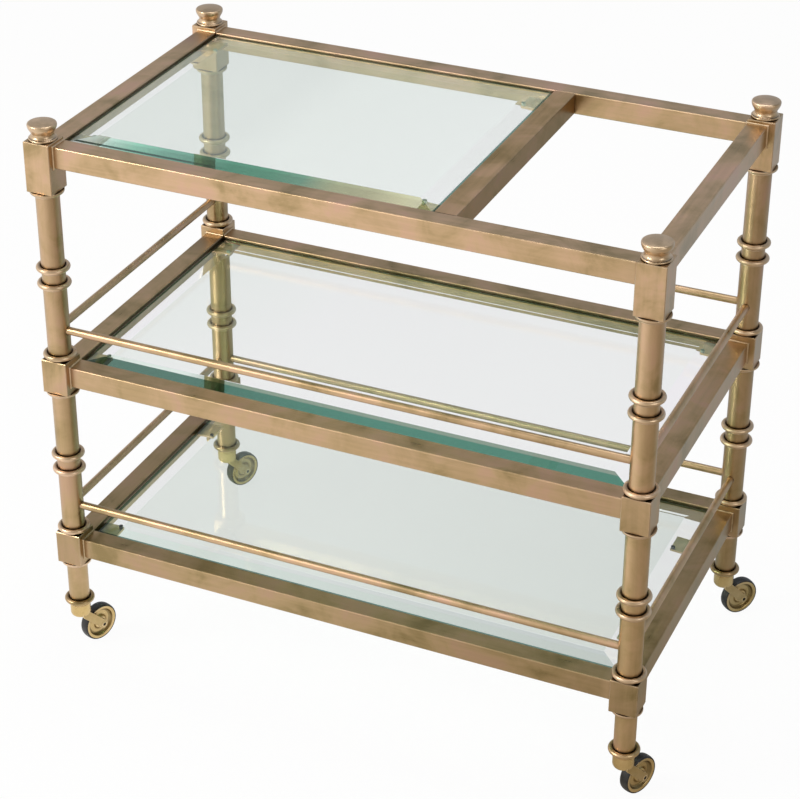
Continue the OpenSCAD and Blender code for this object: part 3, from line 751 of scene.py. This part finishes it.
beadLook = {"size": 0.0016, "sink": 0.0005, "steps": 5}
# the beads take the brighter copy too: painted highlight on them
beadBrass = patinaBrass("beadBrass", brushNone, turnedLitLook, creviceShaded=False, tiered=True)


def layBead(shell, section, low, high, axis, atStart):
    # over the top, down the outside and back under the bottom of one rail's end
    cross = 1 - axis
    outward = 1 if low[cross] + high[cross] > 0 else -1
    inner, outer = (low[cross], high[cross]) if outward > 0 else (high[cross], low[cross])
    face, onward = (low[axis], 1) if atStart else (high[axis], -1)
    path = ((inner, high.z, 0, 1), (outer, high.z, outward, 1),
            (outer, low.z, outward, -1), (inner, low.z, 0, -1))
    rings = []
    for across, z, pushAcross, pushUp in path:
        ring = []
        for along, out in section:
            spot = [0.0, 0.0, z + pushUp * out]
            spot[axis] = face + onward * along
            spot[cross] = across + pushAcross * out
            ring.append(shell.verts.new(spot))
        rings.append(ring)
    count = len(section)
    for near, far in zip(rings, rings[1:]):
        for i in range(count):
            j = (i + 1) % count
            shell.faces.new((near[i], near[j], far[j], far[i]))
    shell.faces.new(rings[0])
    shell.faces.new(list(reversed(rings[-1])))


def buildBeads(tier, look):
    shell = bmesh.new()
    size, sink = look["size"], look["sink"]
    section = [(-sink, -sink), (size, -sink)] + sweepArc(0.0, 0.0, size, 0, 90, look["steps"])
    section.append((-sink, size))
    leftPost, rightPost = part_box("blocks_fl"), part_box("blocks_br")
    for axis, sides in ((0, ("front", "back")), (1, ("left", "right"))):
        for side in sides:
            low, high = (corner.copy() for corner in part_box(f"rail_{tier}_{side}"))
            low[axis], high[axis] = leftPost[1][axis], rightPost[0][axis]
            for atStart in (True, False):
                layBead(shell, section, low, high, axis, atStart)
    piece = linkPiece(f"beads_{tier}", shell, beadBrass)
    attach(piece, "frame")


for tier in tiers:
    buildBeads(tier, beadLook)
print("solder beads laid")


# floor, light and camera

stageLook = {
    "floor": (0.92, 0.92, 0.915, 1),
    "roughness": 0.9,
    "shown": 0.95,      # share of the floor that shows plain white, the rest takes light and shadow
    "throughGlass": (1.08, 0.92, 1.06, 1),   # white that stays white behind the green panes
    "size": 10.0,
    "wallDim": (0.1, 0.7, 1.0, 0.62),        # the room grows darker upwards: from, to, and both tones
}
roomTones = [  # the room by compass angle, from the back over the left, the front and the right
    (0.000, (0.48, 0.52, 0.58, 1)),
    (0.067, (0.50, 0.52, 0.56, 1)),
    (0.190, (0.85, 0.85, 0.86, 1)),
    (0.244, (1.00, 0.99, 1.00, 1)),
    (0.392, (1.08, 1.05, 1.01, 1)),
    (0.433, (1.04, 1.01, 0.98, 1)),
    (0.519, (0.72, 0.68, 0.60, 1)),
    (0.630, (0.48, 0.42, 0.35, 1)),
    (0.753, (0.38, 0.34, 0.27, 1)),
    (0.847, (0.44, 0.47, 0.48, 1)),
    (0.933, (0.48, 0.54, 0.63, 1)),
    (1.000, (0.48, 0.52, 0.58, 1))]
lampLook = {
    "key": {"place": (-2.6, -2.4, 2.6), "size": 1.4, "power": 70.0, "colour": (1.0, 0.97, 0.93)},
    "fill": {"place": (2.8, -1.6, 1.8), "size": 1.8, "power": 16.0, "colour": (0.93, 0.96, 1.0)},
    "top": {"place": (0.2, 0.3, 3.4), "size": 1.8, "power": 26.0, "colour": (1.0, 1.0, 1.0)},
}
lampAim = Vector((0, 0, 0.35))
cameraLook = {"place": (0.93004, -2.15903, 1.72152), "turn": (60.7803, 0.0, 24.3175),
              "lens": 100.64, "sensor": 36.0, "shift": (0.0208, -0.0611), "reach": 50.0}


def roomTone(owner, parts):
    turn = math2(owner, "ARCTAN2", parts.outputs["X"], math2(owner, "MULTIPLY", parts.outputs["Y"], -1.0))
    return ramp(owner, remap(owner, turn, -math.pi, math.pi), roomTones)


def seenStraight(owner):
    # rays that look at the backdrop directly or through glass, and those that a metal face sent on
    path = addNode(owner, "ShaderNodeLightPath")
    through = path.outputs["Is Transmission Ray"]
    after = math2(owner, "MINIMUM", path.outputs["Glossy Depth"], 1.0)
    bounced = math2(owner, "MULTIPLY", path.outputs["Is Glossy Ray"], after)
    straight = math2(owner, "MAXIMUM", path.outputs["Is Camera Ray"],
                     math2(owner, "MULTIPLY", through, math2(owner, "SUBTRACT", 1.0, after)))
    return straight, bounced


def plainWhite(owner):
    direct = addNode(owner, "ShaderNodeLightPath").outputs["Is Camera Ray"]
    return blendColour(owner, direct, stageLook["throughGlass"], (1, 1, 1, 1))


def buildFloor(look):
    half = look["size"] / 2
    mesh = bpy.data.meshes.new("studioFloor")
    mesh.from_pydata([(-half, -half, 0), (half, -half, 0), (half, half, 0), (-half, half, 0)], [],
                     [(0, 1, 2, 3)])
    mat, surface = newMaterial("paleFloor")
    surface.inputs["Base Color"].default_value = look["floor"]
    surface.inputs["Roughness"].default_value = look["roughness"]
    surface.inputs["Specular IOR Level"].default_value = 0.0
    white = addNode(mat, "ShaderNodeEmission", {"Color": plainWhite(mat)})
    parts = addNode(mat, "ShaderNodeSeparateXYZ", {0: objectPoint(mat)})
    room = addNode(mat, "ShaderNodeEmission", {"Color": roomTone(mat, parts)})
    straight, bounced = seenStraight(mat)
    direct = math2(mat, "MULTIPLY", straight, look["shown"])
    inMetal = math2(mat, "MULTIPLY", bounced, look["shown"])
    seen = mixShaders(mat, direct, surface.outputs[0], white.outputs[0])
    wire(mat, mixShaders(mat, inMetal, seen, room.outputs[0]), outlet(mat))
    mesh.materials.append(mat)
    newObject("studioFloor", mesh)


def buildWorld(look):
    world = bpy.data.worlds.new("studio")
    bpy.context.scene.world = world
    world.use_nodes = True
    back = world.node_tree.nodes["Background"]
    direction = addNode(world, "ShaderNodeTexCoord").outputs["Generated"]
    parts = addNode(world, "ShaderNodeSeparateXYZ", {0: direction})
    wire(world, roomTone(world, parts), back.inputs["Color"])
    wire(world, remap(world, parts.outputs["Z"], *look["wallDim"]), back.inputs["Strength"])
    white = addNode(world, "ShaderNodeBackground", {"Color": plainWhite(world)})
    straight = seenStraight(world)[0]
    pick = mixShaders(world, straight, back.outputs[0], white.outputs[0])
    wire(world, pick, world.node_tree.nodes["World Output"].inputs["Surface"])


def addLamp(name, look):
    data = bpy.data.lights.new(name, "AREA")
    data.shape = "DISK"
    data.size = look["size"]
    data.energy = look["power"]
    data.color = look["colour"]
    lamp = newObject(name, data)
    lamp.location = look["place"]
    aim = lampAim - Vector(look["place"])
    lamp.rotation_euler = aim.to_track_quat("-Z", "Y").to_euler()


def addCamera(look):
    data = bpy.data.cameras.new("studioCamera")
    data.sensor_width = look["sensor"]
    data.lens = look["lens"]
    data.shift_x, data.shift_y = look["shift"]
    data.clip_end = look["reach"]
    camera = newObject("studioCamera", data)
    camera.location = look["place"]
    camera.rotation_euler = [math.radians(angle) for angle in look["turn"]]
    bpy.context.scene.camera = camera


buildFloor(stageLook)
buildWorld(stageLook)
for name, look in lampLook.items():
    addLamp(name, look)
addCamera(cameraLook)
bpy.context.scene.view_settings.view_transform = "Standard"
print("studio set")
